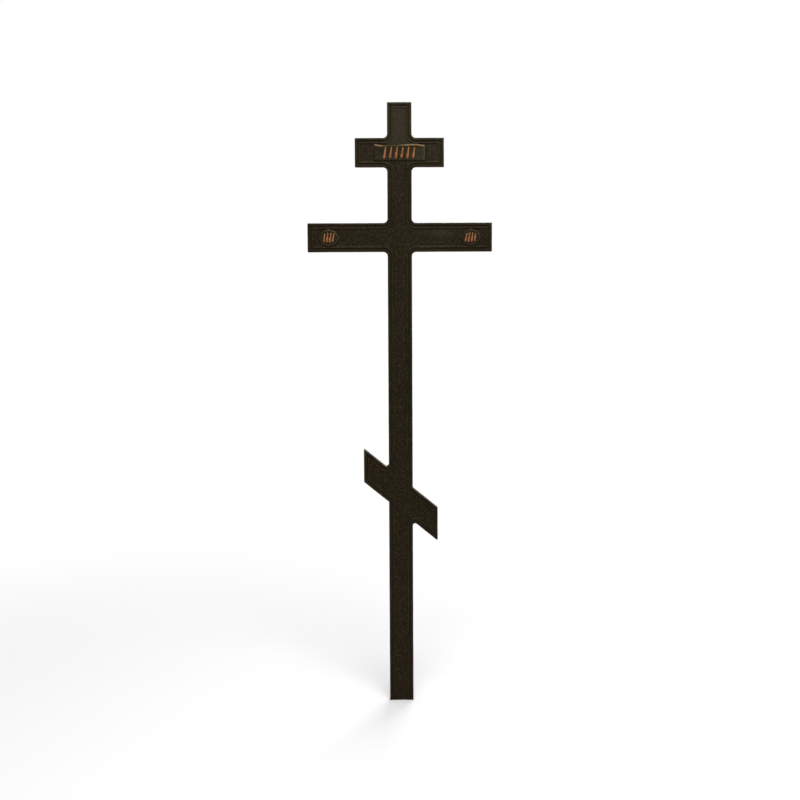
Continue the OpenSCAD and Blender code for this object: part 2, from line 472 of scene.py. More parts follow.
@dataclass(frozen=True)
class IronFinish:
    """Cast iron with a thin, dark, satin coat that has gone brown and olive in patches.

    The coat is browner towards the ground and rubbed along raised edges, and dull brown dust lies in the
    hollows. Painted sheen makes it paler and glossier where reflected light falls, and on the plaques the
    rubbed colour also paints highlight. The ramps say how much of a colour shows, or how dull the coat is,
    by a noise, the height or one of a piece's own marks.
    """

    name: str
    dark: Colour = (0.0034, 0.0026, 0.0014)
    brown: Colour = (0.0130, 0.0060, 0.0041)
    olive: Colour = (0.0068, 0.0068, 0.0031)
    rust: Colour = (0.0240, 0.0098, 0.0045)
    dirt: Colour = (0.0125, 0.0080, 0.0046)
    # Pale freckles share this colour with painted sheen, which stands in for reflected light.
    pale_and_sheen: Colour = (0.0196, 0.0180, 0.0108)
    # Rubbed edges; on the plaques this colour is bright and paints highlight.
    rubbed_and_highlight: Colour = (0.036, 0.026, 0.014)
    tint: Colour = (1.0, 0.80, 0.45)
    specular: float = 0.12
    clouds: Noise = Noise(0.16, 3.0, 0.5)
    patches: Noise = Noise(0.035, 5.0, 0.6)
    blooms: Noise = Noise(0.014, 5.0, 0.65)
    freckles: Noise = Noise(0.008, 5.0, 0.68)
    specks: Noise = Noise(0.0048, 3.0, 0.6)
    pits: Noise = Noise(0.007, 4.0, 0.5)
    pit_depth: float = 0.00050
    grain: Noise = Noise(0.0016, 2.0, 0.6)
    grain_depth: float = 0.00022
    olive_by_height: Ramp = Ramp(0.0, 1.1, -0.09, 0.05)
    olive_patches: Ramp = Ramp(0.38, 0.62)
    dark_clouds: Ramp = Ramp(0.38, 0.64, 0.35, 0.0)
    rust_blooms: Ramp = Ramp(0.50, 0.66, 0.0, 0.5)
    dark_specks: Ramp = Ramp(0.44, 0.66, 0.0, 0.55)
    pale_freckles: Ramp = Ramp(0.51, 0.64, 0.0, 0.85)
    dark_freckles: Ramp = Ramp(0.36, 0.51, 1.0, 0.0)
    sheen_kept: Ramp = Ramp(0.40, 0.58, 0.55, 1.0)
    dirt_kept: Ramp = Ramp(0.30, 0.62, 1.0, 0.45)
    rub_and_highlight_specks: Ramp = Ramp(0.38, 0.62, 0.35)
    rub_and_highlight_clouds: Ramp = Ramp(0.36, 0.60, 0.48)
    dull_patches: Ramp = Ramp(0.34, 0.66, 0.36, 0.56)
    dull_specks: Ramp = Ramp(0.35, 0.70, -0.04, 0.05)
    dull_dirt: Ramp = Ramp(0.0, 1.0, 0.0, 0.22)
    sheen_gloss: Ramp = Ramp(0.0, 1.0, 0.0, 0.05)

    def material(self) -> bpy.types.Material:
        """Build the finish: layers of colour one over another, then roughness and fine relief.

        Returns:
            The material.
        """
        g = Graph(self.name)
        patches, clouds = g.noise(self.patches), g.noise(self.clouds)
        freckles, specks = g.noise(self.freckles), g.noise(self.specks)
        painted_sheen = g.maths("MULTIPLY", g.mark("painted_sheen"), g.ramp(freckles, self.sheen_kept))
        held = g.maths("MULTIPLY", g.mark("grime"), g.ramp(patches, self.dirt_kept))
        # Rubbed edges, and on the plaques painted highlight.
        bare = g.maths("MULTIPLY", g.mark("wear_and_highlight"), g.ramp(specks, self.rub_and_highlight_specks))
        bare = g.maths("MULTIPLY", bare, g.ramp(clouds, self.rub_and_highlight_clouds))

        olive = g.maths("ADD", patches, g.ramp(g.height(), self.olive_by_height))
        coat = g.mixed(g.ramp(olive, self.olive_patches), self.brown, self.olive)
        layers = (
            (g.ramp(clouds, self.dark_clouds), self.dark),
            (g.ramp(g.noise(self.blooms), self.rust_blooms), self.rust),
            (g.ramp(specks, self.dark_specks), self.dark),
            (g.ramp(freckles, self.pale_freckles), self.pale_and_sheen),
            (g.ramp(freckles, self.dark_freckles), self.dark),
            # Painted sheen: a paler coat where reflected light falls.
            (painted_sheen, self.pale_and_sheen),
            (held, self.dirt),
            # Rubbed edges, and on the plaques painted highlight along the tablet's lip, its right-hand
            # roll and the medallion rims.
            (bare, self.rubbed_and_highlight),
        )
        for share, colour in layers:
            coat = g.mixed(share, coat, colour)

        dull = g.maths("ADD", g.ramp(patches, self.dull_patches), g.ramp(held, self.dull_dirt))
        dull = g.maths("ADD", dull, g.ramp(specks, self.dull_specks))
        dull = g.maths("SUBTRACT", dull, g.ramp(painted_sheen, self.sheen_gloss))
        relief = g.bump(self.grain, self.grain_depth, g.bump(self.pits, self.pit_depth))
        g.wire(coat, g.shader.inputs["Base Color"])
        g.wire(dull, g.shader.inputs["Roughness"])
        g.wire(relief, g.shader.inputs["Normal"])
        g.wire((*self.tint, 1.0), g.shader.inputs["Specular Tint"])
        g.wire(self.specular, g.shader.inputs["Specular IOR Level"])
        return g.material


@dataclass(frozen=True)
class CopperFinish:
    """Copper-coloured gilding on the raised strokes, darker along their feet and bright where high."""

    name: str
    bright: Colour = (0.315, 0.128, 0.048)
    deep: Colour = (0.155, 0.054, 0.018)
    dirt: Colour = (0.040, 0.019, 0.009)
    metal: float = 0.70
    patches: Noise = Noise(0.006, 4.0, 0.6)
    grain: Noise = Noise(0.0012, 2.0, 0.6)
    grain_depth: float = 0.00012
    bright_patches: Ramp = Ramp(0.36, 0.64)
    dull_patches: Ramp = Ramp(0.36, 0.66, 0.50, 0.30)

    def material(self) -> bpy.types.Material:
        """Build the finish.

        Returns:
            The material.
        """
        g = Graph(self.name)
        patches = g.noise(self.patches)
        gilt = g.mixed(g.ramp(patches, self.bright_patches), self.deep, self.bright)
        g.wire(g.mixed(g.mark("grime"), gilt, self.dirt), g.shader.inputs["Base Color"])
        g.wire(g.ramp(patches, self.dull_patches), g.shader.inputs["Roughness"])
        g.wire(g.bump(self.grain, self.grain_depth), g.shader.inputs["Normal"])
        g.wire(self.metal, g.shader.inputs["Metallic"])
        return g.material


# ---- The panel ----------------------------------------------------------------------------


@dataclass(frozen=True)
class RimSection:
    """Section of the panel's edge: rounded back edge, wall, arris, land, groove and bead."""

    thickness: float
    arris_r: float = 0.003
    land_w: float = 0.008
    groove_w: float = 0.005
    groove_d: float = 0.0034
    bead_w: float = 0.006
    field_d: float = 0.0028
    back_r: float = 0.002
    shoulder: float = 0.0012
    wall_in_share: float = 1.5
    floor_share: float = 0.66
    cove_w: float = 0.0008
    cove_h: float = 0.0004
    bead_turn: float = 0.00012
    back_steps: int = 4
    wall_steps: int = 5
    arris_steps: int = 6
    land_steps: int = 3
    groove_steps: int = 7
    bead_steps: int = 12
    arris_worn_at: float = 0.35
    arris_spread: float = 0.5
    shoulder_wear: float = 0.7
    shoulder_spread: float = 0.7
    crest_wear: float = 0.6
    crest_spread: float = 0.3

    @property
    def width(self) -> float:
        """From the outline to the start of the field."""
        return self.land_w + self.groove_w + self.bead_w

    @property
    def crest(self) -> float:
        """From the outline to the bead's crest."""
        return self.width - self.bead_w / 2.0

    def profile(self) -> Array:
        """The section, from the back to the field.

        Rounded back edge and arris are quarter circles, the groove's outer wall eases down, and
        the bead is half an ellipse that rises from the groove's floor and falls to the field,
        where a small slope, the cove, takes up its last turn.

        Returns:
            Rows of distance in from the outline and depth behind the front.
        """
        back = quarter((self.back_r, self.thickness - self.back_r), self.back_r, 90.0, self.back_steps)
        back[:, 0] = 2.0 * self.back_r - back[:, 0]
        wall_y = np.linspace(self.thickness - self.back_r, self.arris_r, self.wall_steps + 1)[1:-1]
        wall = np.stack([np.zeros_like(wall_y), wall_y], axis=1)
        a = np.radians(np.linspace(0.0, 90.0, self.arris_steps + 1))
        arris = self.arris_r * (1.0 - np.stack([np.cos(a), np.sin(a)], axis=1))
        flat_x = np.linspace(self.arris_r, self.land_w - self.shoulder / 2.0, self.land_steps + 1)[1:]
        land = np.stack([flat_x, np.zeros_like(flat_x)], axis=1)
        t = np.linspace(0.0, 1.0, self.groove_steps + 1)[1:]
        edge = land[-1, 0] + t * self.wall_in_share * self.shoulder
        wall_in = np.stack([edge, self.groove_d * smooth(t)], axis=1)
        floor = np.array([[self.land_w + self.floor_share * self.groove_w, self.groove_d]])
        b = np.radians(np.linspace(0.0, 180.0, self.bead_steps + 1))
        foot = np.where(b < math.pi / 2.0, self.groove_d, self.field_d)
        out = self.crest - self.bead_w / 2.0 * np.cos(b)
        bead = np.stack([out, foot * (1.0 - np.sin(b))], axis=1)
        bead[-1] = [self.width + self.bead_turn, self.field_d - self.cove_h]
        cove = np.array([[self.width + self.cove_w, self.field_d]])
        return np.concatenate([back, wall, arris, land, wall_in, floor, bead, cove])

    def wear_and_highlight(self, section: Array) -> Array:
        """How rubbed each point of the section is: bell curves about its three raised edges.

        They stand on the arris, the groove's outer shoulder and the bead's crest.

        Args:
            section: Rows of distance in and depth.

        Returns:
            Shares from 0 to 1.
        """
        inset, depth = section[:, 0], section[:, 1]
        arris = hump(inset, self.arris_r * self.arris_worn_at, self.arris_r * self.arris_spread)
        shoulder = hump(inset, self.land_w - self.shoulder / 2.0, self.shoulder * self.shoulder_spread)
        crest = hump(inset, self.crest, self.bead_w * self.crest_spread)
        inner = self.crest_wear * crest + self.shoulder_wear * shoulder
        near_front, front = depth < 2.0 * self.arris_r, depth < self.groove_d / 2.0
        return np.clip(arris * near_front + inner * front, 0.0, 1.0)

    def grime(self, section: Array) -> Array:
        """How dirty each point of the section is: eased by its depth, and only in the groove.

        Args:
            section: Rows of distance in and depth.

        Returns:
            Shares from 0 to 1.
        """
        inside = (section[:, 0] > self.land_w) & (section[:, 0] < self.crest)
        return inside * smooth(section[:, 1] / self.groove_d)


@dataclass(frozen=True)
class PaintedSheen:
    """Painted sheen: a paler, glossier coat standing in for reflected light on the head, a bar's end and a
    streak on an arm.
    """

    below_bar: float = 0.045
    head_h: float = 0.075
    fade_w: float = 0.03
    left_loss: float = 0.88
    right_loss: float = 0.68
    end: float = 0.35
    end_share: float = 0.46
    end_w: float = 0.03
    end_h: float = 0.05
    streak_x: float = 0.145
    streak_up: float = 0.015
    streak_h: float = 0.012
    left_reach: float = 0.060
    right_reach: float = 0.030


@dataclass
class CrossPanel:
    """The cross itself: the rim's section carried round its outline, closed front and back."""

    low: Vector
    high: Vector
    main_z: float
    title_z: float
    bar_h: float
    upright_w: float = 0.080
    title_l: float = 0.291
    slant_l: float = 0.246
    slant_t: float = 0.0875
    slant_angle: float = math.radians(39.2)
    slant_drop: float = 0.856
    fillet_r: float = 0.014
    tight_r: float = 0.0075
    wide_r: float = 0.002
    corner_r: float = 0.003
    least_r: float = 0.001
    step: float = 0.005
    least_steps: int = 3
    across: int = 12
    edge_wander: float = 0.0003
    outer_steps: int = 5
    fillet_steps: int = 9
    tight_steps: int = 8
    sheen_spots: PaintedSheen = field(default_factory=PaintedSheen)
    skin: CastSkin = field(default_factory=lambda: CastSkin(seed=11))
    edge_skin: CastSkin = field(default_factory=lambda: CastSkin(seed=12, depth=1.0, shortest=0.03))

    def corners(self) -> tuple[Array, Array, Array]:
        """The outline's corners up the right-hand side and down the left.

        The straight bars' corners are mirrored, and the slanted bar's turned half round.

        Returns:
            The corners' x and z, their radii and the straight pieces in each one's arc.
        """
        half, main = self.upright_w / 2.0, (self.high.x - self.low.x) / 2.0
        slant_z = self.main_z - self.slant_drop
        rise = self.slant_t / 2.0 / math.cos(self.slant_angle)
        fall = math.tan(self.slant_angle)
        end = (self.slant_l / 2.0, self.corner_r, self.outer_steps)
        under, over = (half, self.tight_r, self.tight_steps), (half, self.wide_r, self.outer_steps)
        lower = [(x, slant_z - rise - x * fall, r, n) for x, r, n in (under, end)]
        slanted = lower + [(x, slant_z + rise - x * fall, r, n) for x, r, n in (end, over)]

        def bar(length: float, z: float) -> list[tuple[float, float, float, int]]:
            """A straight bar's right-hand corners, from below.

            Args:
                length: The bar's length.
                z: Height of its centre line.

            Returns:
                Each corner's x, z, radius and straight pieces.
            """
            inner = (half, self.fillet_r, self.fillet_steps)
            outer = (length / 2.0, self.corner_r, self.outer_steps)
            below, above = z - self.bar_h / 2.0, z + self.bar_h / 2.0
            low = [(x, below, r, n) for x, r, n in (inner, outer)]
            return low + [(x, above, r, n) for x, r, n in (outer, inner)]

        main_bar = bar(2.0 * main, self.main_z)
        title_bar = bar(self.title_l, self.title_z)
        head = [(half, self.high.z, self.corner_r, self.outer_steps)]
        right = slanted + main_bar + title_bar + head
        left = [(-x, z, r, n) for x, z, r, n in (main_bar + title_bar + head)[::-1]]
        left += [(-x, 2.0 * slant_z - z, r, n) for x, z, r, n in slanted]
        table = np.array([(half, 0.0, 0.0, 0)] + right + left + [(-half, 0.0, 0.0, 0)])
        return table[:, :2], table[:, 2], table[:, 3].astype(int)

    def painted_sheen(self, x: Array, z: Array) -> Array:
        """How much painted sheen lightens the coat at each place.

        Painted sheen, standing in for reflected light, covers the head down to the title bar, less so out
        along that bar and least on its left. It also covers that bar's right-hand end, a little, and a
        short streak in the upper half of the main bar's right arm. The steps are eased and the spots are
        bell curves.

        Args:
            x: Across the face.
            z: Up the face.

        Returns:
            Shares from 0 to 1.
        """
        w = self.sheen_spots
        start = self.title_z - w.below_bar
        out = eased(np.abs(x), self.upright_w / 2.0, self.upright_w / 2.0 + w.fade_w)
        loss = np.where(x < 0.0, w.left_loss, w.right_loss)
        head = eased(z, start, start + w.head_h) * (1.0 - loss * out)
        end = w.end * hump(x, w.end_share * self.title_l, w.end_w) * hump(z, self.title_z, w.end_h)
        reach = np.where(x < w.streak_x, w.left_reach, w.right_reach)
        streak = hump(x, w.streak_x, reach) * hump(z, self.main_z + w.streak_up, w.streak_h)
        return np.clip(head + end + streak, 0.0, 1.0)

    def straights(self, places: Array) -> Array:
        """Pieces that each straight of the outline is cut into: the same on both sides.

        Args:
            places: The corners' x and z.

        Returns:
            A count for each straight, from the foot round to the foot.
        """
        length = np.linalg.norm(np.diff(places, axis=0), axis=1)
        count = np.maximum(np.round(length / self.step), self.least_steps).astype(int)
        half = len(count) // 2
        count[half] = self.across
        count[half + 1 :] = count[:half][::-1]
        count[-BAR_CORNERS:-1] = count[1:BAR_CORNERS]
        return count

    def rings(self, insets: Array) -> tuple[Array, Array]:
        """The outline moved inwards by each inset, with its corners rounded.

        The straights between the corners are cut evenly.

        Args:
            insets: How far in each ring lies.

        Returns:
            Points as ring, point and (x, z), and where each corner's arc starts and ends.
        """
        places, radii, steps = self.corners()
        cuts = self.straights(places)
        foot = np.zeros_like(insets)
        before = np.stack([places[0, 0] - insets, foot], axis=1)[:, None]
        runs, marks, total = [before], [], 1
        for i in range(1, len(places) - 1):
            arc = self.arc(places[i - 1 : i + 2], radii[i], steps[i], insets)
            runs += [self.between(before[:, -1:], arc[:, :1], cuts[i - 1]), arc]
            start = total + cuts[i - 1] - 1
            marks.append((start, start + steps[i]))
            total = start + steps[i] + 1
            before = arc
        last = np.stack([places[-1, 0] + insets, foot], axis=1)[:, None]
        runs += [self.between(before[:, -1:], last, cuts[-1]), last]
        return np.concatenate(runs, axis=1), np.array(marks)

    def arc(self, places: Array, radius: float, steps: int, insets: Array) -> Array:
        """Round one corner of every ring by an arc about a centre on the corner's mitre.

        An outer corner's radius shrinks by the inset, and a fillet's grows by it. The arc's
        spokes turn from square to the side before the corner to square to the side after it.

        Args:
            places: The corner before, the corner and the one after, in x and z.
            radius: The corner's radius on the outline.
            steps: Straight pieces in the arc.
            insets: How far in each ring lies.

        Returns:
            Points as ring, point and (x, z).
        """
        u, v = places[1] - places[0], places[2] - places[1]
        u, v = u / np.linalg.norm(u), v / np.linalg.norm(v)
        turn = math.atan2(u[0] * v[1] - u[1] * v[0], float(u @ v))
        side = math.copysign(1.0, turn)
        left_u, left_v = np.array([-u[1], u[0]]), np.array([-v[1], v[0]])
        r = np.maximum(radius - insets, self.least_r) if turn > 0.0 else radius + insets
        inwards = (left_u + left_v) / (1.0 + float(u @ v))
        centre = places[1] + (insets + side * r)[:, None] * inwards
        a = turn * np.linspace(0.0, 1.0, steps + 1)
        spoke = np.outer(np.cos(a), left_u) + np.outer(np.sin(a), [-left_u[1], left_u[0]])
        return centre[:, None] - side * r[:, None, None] * spoke

    @staticmethod
    def between(start: Array, end: Array, pieces: int) -> Array:
        """Cut a straight evenly: the start plus a share of the way to the end.

        Args:
            start: The first point of each ring's straight.
            end: The last point of each one.
            pieces: How many pieces it is cut into.

        Returns:
            The points between the ends, without them.
        """
        share = (np.arange(1, pieces) / pieces)[:, None]
        return start + share * (end - start)

    def web(self, surface: Surface, ring: Array, row: Array, depth: float, arcs: Array) -> Array:
        """Fill the inside of a ring with grids that meet its points and each other.

        Args:
            surface: Where the points and faces go.
            ring: The ring's x and z.
            row: The ring's point numbers.
            depth: The y of the new points.
            arcs: Where each corner's arc starts and ends on the ring.

        Returns:
            The numbers of the bottom row, from left to right.
        """
        cuts = self.fill_lengths(surface, ring, row, depth, arcs)
        points = np.concatenate(surface.points)
        for first in range(0, len(arcs) // 2 - 1, BAR_CORNERS):
            self.fill_bar(surface, points, row, cuts, arcs[first : first + BAR_CORNERS])
        return cuts[0]

    def fill_lengths(
        self, surface: Surface, ring: Array, row: Array, depth: float, arcs: Array
    ) -> dict[int, Array]:
        """Fill the lengths of upright below, between and above the bars, ruled straight across.

        The uppermost one ends on the top edge's own points.

        Args:
            surface: Where the points and faces go.
            ring: The ring's x and z.
            row: The ring's point numbers.
            depth: The y of the new points.
            arcs: Where each corner's arc starts and ends on the ring.

        Returns:
            Each length's two end rows from left to right, by their right-hand ends' places on the ring.
        """
        n, m, head = len(ring), self.across, len(arcs) // 2 - 1
        firsts = [0, *arcs[BAR_CORNERS - 1 : head : BAR_CORNERS, 1]]
        lasts = [*arcs[:head:BAR_CORNERS, 0], arcs[head, 1]]
        share = (np.arange(1, m) / m)[None, :, None]
        cuts: dict[int, Array] = {}
        for first, last in zip(firsts, lasts):
            is_head = last == lasts[-1]
            at = np.arange(first, last if is_head else last + 1)
            right, left = ring[at], ring[n - 1 - at]
            inner = surface.add(self.raised(left[:, None] + share * (right - left)[:, None], depth))
            grid = np.concatenate([row[n - 1 - at][:, None], inner, row[at][:, None]], axis=1)
            cuts[first], cuts[last] = grid[0], grid[-1]
            surface.join(quads(np.vstack([grid, row[last : last + m + 1][::-1]]) if is_head else grid))
        return cuts

    @staticmethod
    def fill_bar(surface: Surface, points: Array, row: Array, cuts: dict[int, Array], arcs: Array) -> None:
        """Fill one bar, ruled from its lower edge to its upper edge, across the upright too.

        Args:
            surface: Where the points and faces go.
            points: All of the surface's points so far.
            row: The ring's point numbers.
            cuts: The end rows of the lengths of upright, by their places on the ring.
            arcs: Where the arcs of the bar's right-hand corners start and end on the ring.
        """
        foot, top = arcs[0, 0], arcs[-1, 1]
        low, high = arcs[1, 1], arcs[2, 0]
        start = len(row) - 1 - top
        left_under = row[start + high - foot : start + top - foot]
        under = np.concatenate([left_under, cuts[foot], row[foot + 1 : low + 1]])
        left_over = row[start : start + low - foot + 1][::-1][:-1]
        over = np.concatenate([left_over, cuts[top], row[high:top][::-1]])
        share = (np.arange(1, high - low) / (high - low))[:, None, None]
        inner = surface.add((points[under] + share * (points[over] - points[under]))[:, 1:-1])
        left_end = row[start + low - foot : start + high - foot + 1][::-1]
        right_end = row[low : high + 1]
        middle = np.concatenate([left_end[1:-1, None], inner, right_end[1:-1, None]], axis=1)
        surface.join(quads(np.vstack([under, middle, over])))

    @staticmethod
    def raised(flat: Array, depth: float) -> Array:
        """Points in x and z as points in space, all at the same y."""
        return np.stack([flat[..., 0], np.full(flat.shape[:-1], depth), flat[..., 1]], axis=-1)

    def build(self) -> bpy.types.Object:
        """Carry the section round the outline, close it and give it its cast skin.

        Returns:
            The cross.
        """
        rim = RimSection(thickness=self.high.y - self.low.y)
        section = rim.profile()
        flat, arcs = self.rings(section[:, 0])
        along = np.gradient(flat, axis=1)
        along /= np.linalg.norm(along, axis=2, keepdims=True)
        inwards = np.stack([-along[..., 1], along[..., 0]], axis=-1)
        inwards[:, (0, -1), 1] = 0.0
        share = 1.0 - smooth(section[:, 0] / rim.land_w)
        wander = self.edge_wander * share[:, None] * self.edge_skin.at(flat[..., 0], flat[..., 1])
        flat = flat + wander[..., None] * inwards
        y = np.broadcast_to(self.low.y + section[:, 1][:, None], flat.shape[:2])
        grid = np.stack([flat[..., 0], y, flat[..., 1]], axis=-1)
        surface = Surface()
        rows = surface.add(grid, rim.wear_and_highlight(section)[:, None], rim.grime(section)[:, None])
        surface.join(quads(rows))
        front = self.web(surface, flat[-1], rows[-1], self.low.y + rim.field_d, arcs)
        back = self.web(surface, flat[0], rows[0], self.high.y, arcs)
        surface.cap(np.concatenate([rows[:, 0], front[::-1][1:-1], rows[::-1, -1], back[1:-1]]))
        places = np.concatenate(surface.points)
        depth = places[:, 1] - self.low.y
        grime = np.concatenate(surface.marks["grime"])
        # Painted sheen on the front face, kept out of the groove.
        face = (depth < rim.thickness / 2.0) * (1.0 - grime)
        surface.marks["painted_sheen"] = [face * self.painted_sheen(places[:, 0], places[:, 2])]
        surface.sink(self.skin, 1.0 - 2.0 * depth / rim.thickness)
        return surface.piece("cross")


# ---- The plaques --------------------------------------------------------------------------


@dataclass(frozen=True)
class Stroke:
    """One raised stroke that stands for nothing: a leaning club, thin above and broad below."""

    x: float
    z: float
    length: float
    lean: float
    width: float
    height: float
    top_share: float = 0.6
    blunt: float = 6.0


@dataclass
class Strokes:
    """A plaque's raised strokes, as rounded bodies sunk half into its face."""

    face_y: float
    rows: int = 22
    around: int = 16
    dark_at_side: float = 0.5
    dark_fall: float = 1.4

    def club(self, surface: Surface, stroke: Stroke) -> None:
        """Add one stroke: an ellipse carried down a leaning line.

        The ellipse's half-width grows from the top share to the full width, and both ends close
        as a superellipse: the root of one less the distance from the middle to a high power.
        It is darker along its foot, and less so up its sides.

        Args:
            surface: Where it goes.
            stroke: Its place and sizes.
        """
        t = np.sin(np.linspace(-0.5, 0.5, self.rows + 1) * math.pi) * 0.5 + 0.5
        ends = np.sqrt(1.0 - np.abs(2.0 * t - 1.0) ** stroke.blunt)[1:-1, None]
        t = t[1:-1, None]
        grown = (stroke.top_share + (1.0 - stroke.top_share) * smooth(t)) * ends
        a = np.linspace(0.0, 2.0 * math.pi, self.around, endpoint=False)[None]
        across = 0.5 * stroke.width * grown * np.cos(a)
        out = stroke.height * ends * np.sin(a)
        up = stroke.length * (0.5 - t) + 0.0 * a
        # Darker along the foot, and less so up the sides.
        dirt = smooth(self.dark_at_side - self.dark_fall * np.sin(a))
        rows = surface.add(self.placed(stroke, across, out, up), 0.0, dirt)
        surface.join(quads(np.concatenate([rows, rows[:, :1]], axis=1)))
        ends_down = stroke.length * np.array([0.5, -0.5])
        tips = surface.add(self.placed(stroke, np.zeros(2), np.zeros(2), ends_down))
        surface.fan(int(tips[0]), rows[0])
        surface.fan(int(tips[1]), rows[-1][::-1])

    def placed(self, stroke: Stroke, across: Array, out: Array, up: Array) -> Array:
        """Turn a stroke's own directions by its lean and put them in its place.

        Args:
            stroke: Its place and lean.
            across: Distance across the stroke.
            out: Distance out of the plaque's face.
            up: Distance up the stroke from its middle.

        Returns:
            The points.
        """
        c, s = math.cos(stroke.lean), math.sin(stroke.lean)
        x = stroke.x + across * c + up * s
        z = stroke.z - across * s + up * c
        return np.stack([x, self.face_y - out, z], axis=-1)

    def build(self, name: str, strokes: list[Stroke]) -> bpy.types.Object:
        """Make all of a plaque's strokes as one piece.

        Args:
            name: The piece's name.
            strokes: The strokes.

        Returns:
            The piece.
        """
        surface = Surface()
        for stroke in strokes:
            self.club(surface, stroke)
        return surface.piece(name)


@dataclass
class TitleTablet:
    """The scroll-shaped tablet: a ribbon with a rolled top lip and small rolls at its ends."""

    low: Vector
    high: Vector
    seat_y: float
    turns: tuple[tuple[float, float], ...] = ((0.0, 0.5), (0.2, 0.42), (0.82, 0.5), (1.0, 0.44))
    bottom_share: float = 0.45
    end_swell: float = 0.0025
    swell_from: float = 0.93
    plate_t: float = 0.0045
    lip_h: float = 0.0075
    lip_d: float = 0.004
    lip_fades: tuple[float, float] = (0.10, 0.22)
    lip_fills: tuple[float, float] = (0.36, 0.72)
    least_lip_h: float = 0.65
    least_lip_d: float = 0.25
    hollow: float = 0.0007
    wave: float = 0.0002
    waves: float = 2.2
    wave_start: float = 0.1
    roll_w: float = 0.006
    roll_in: float = 0.0022
    left_roll_d: float = 0.0018
    right_roll_d: float = 0.0026
    edge_r: float = 0.0012
    edge_share: float = 0.35
    # Painted highlight: a bright band along the lip's crest over a little rubbed gilt, and a light band on
    # the right-hand end roll.
    end_roll_highlight: float = 0.22
    least_lip_wear_and_highlight: float = 0.2
    least_sheen: float = 0.3
    sheen_span: tuple[float, float] = (0.55, 0.90)
    grime_w: float = 0.0018
    bare: float = 0.035
    under: float = 0.005
    strokes: int = 6
    short_stroke: float = 0.9
    stroke_w: float = 0.0090
    stroke_d: float = 0.0018
    stroke_sunk: float = 0.0006
    sunk: float = 0.0008
    columns: int = 150
    rows: int = 60

    @property
    def length(self) -> float:
        """Length of the tablet's straight bottom edge."""
        return self.high.x - self.low.x - self.end_swell

    @property
    def span_h(self) -> float:
        """Height that the shares of the outline are taken of."""
        return (self.high.z - self.low.z) / (self.turns[0][1] + self.bottom_share)

    @property
    def middle_z(self) -> float:
        """Height of the bar's centre line behind the tablet."""
        return self.low.z + self.bottom_share * self.span_h

    def top(self, t: Array) -> Array:
        """Height of the top edge: eased by half a cosine from each turn to the next.

        Args:
            t: Share of the way from the left end to the right.

        Returns:
            Its z.
        """
        at = np.array(self.turns)
        k = np.clip(np.searchsorted(at[:, 0], t, side="right") - 1, 0, len(at) - 2)
        share = (t - at[k, 0]) / (at[k + 1, 0] - at[k, 0])
        level = at[k, 1] + (at[k + 1, 1] - at[k, 1]) * (1.0 - np.cos(math.pi * share)) / 2.0
        return self.middle_z + level * self.span_h

    def lip(self, along: Array, below: Array) -> tuple[Array, Array]:
        """Shape of the rolled lip: half an ellipse just under the top edge.

        Args:
            along: Distance from the left end.
            below: Distance down from the top edge.

        Returns:
            How full the roll is, which is 1 at the left tip and over the right-hand half and 0
            between them, and its height as a share of its crest's.
        """
        t = along / self.length
        full = np.clip(1.0 - eased(t, *self.lip_fades) + eased(t, *self.lip_fills), 0.0, 1.0)
        half_h = self.lip_h / 2.0 * (self.least_lip_h + (1.0 - self.least_lip_h) * full)
        return full, dome(below - half_h, half_h)

    def front(self, along: Array, up: Array, height: Array) -> Array:
        """How far the front stands out of the field.

        The plate is hollowed a little between its edges by half a sine and waves along its
        length by another. The lip runs along its top edge and a small upright roll, also half an
        ellipse, stands at each end. All the edges are rounded down by a quarter circle.

        Args:
            along: Distance from the left end.
            up: Distance from the bottom edge.
            height: The tablet's height there.

        Returns:
            The distance out.
        """
        t = along / self.length
        below = height - up
        plate = self.plate_t - self.hollow * np.sin(math.pi * np.clip(up / height, 0.0, 1.0))
        plate = plate - self.wave * (1.0 + np.sin(2.0 * math.pi * (self.waves * t + self.wave_start)))
        full, roll = self.lip(along, below)
        out = plate + self.lip_d * (self.least_lip_d + (1.0 - self.least_lip_d) * full) * roll
        right = self.right_roll_d * dome(self.length - along - self.roll_in, self.roll_w / 2.0)
        left = self.left_roll_d * dome(along - self.roll_in, self.roll_w / 2.0)
        out = np.maximum(out, plate + right + left)
        edge = np.minimum(np.minimum(up, below), np.minimum(along, self.length - along))
        fall = dome(self.edge_r - np.clip(edge, 0.0, self.edge_r), self.edge_r)
        return out * (self.edge_share + (1.0 - self.edge_share) * fall)

    def build(self) -> bpy.types.Object:
        """Make the ribbon: a grid over its outline, raised by its front, and a flat back.

        Columns and rows crowd towards the edges, as the sine of an even share does.

        Returns:
            The tablet.
        """
        t = 0.5 + 0.5 * np.sin(np.linspace(-0.5, 0.5, self.columns + 1) * math.pi)
        v = 0.5 + 0.5 * np.sin(np.linspace(-0.5, 0.5, self.rows + 1) * math.pi)[:, None]
        height = self.top(t) - self.low.z
        up = v * height
        along = np.broadcast_to(t * self.length, up.shape)
        out = self.front(along, up, height)
        swell = self.end_swell * np.sin(math.pi * v) * eased(t, self.swell_from, 1.0)
        x = self.low.x + along + swell
        z = self.low.z + up
        grid = np.stack([x, self.seat_y - out, z], axis=-1)
        full, roll = self.lip(along, height - up)
        near = hump(height - up, self.lip_h + self.edge_r, self.grime_w)
        surface = Surface()
        # Painted highlight on the right-hand roll and along the lip, where light from above would catch
        # it.
        right_roll_highlight = self.end_roll_highlight * hump(self.length - along, self.roll_w / 2.0, self.roll_w / 2.0)
        lip_wear_and_highlight = self.least_lip_wear_and_highlight + (1.0 - self.least_lip_wear_and_highlight) * full
        wear_and_highlight = np.clip(lip_wear_and_highlight * roll + right_roll_highlight * (1.0 - roll), 0.0, 1.0)
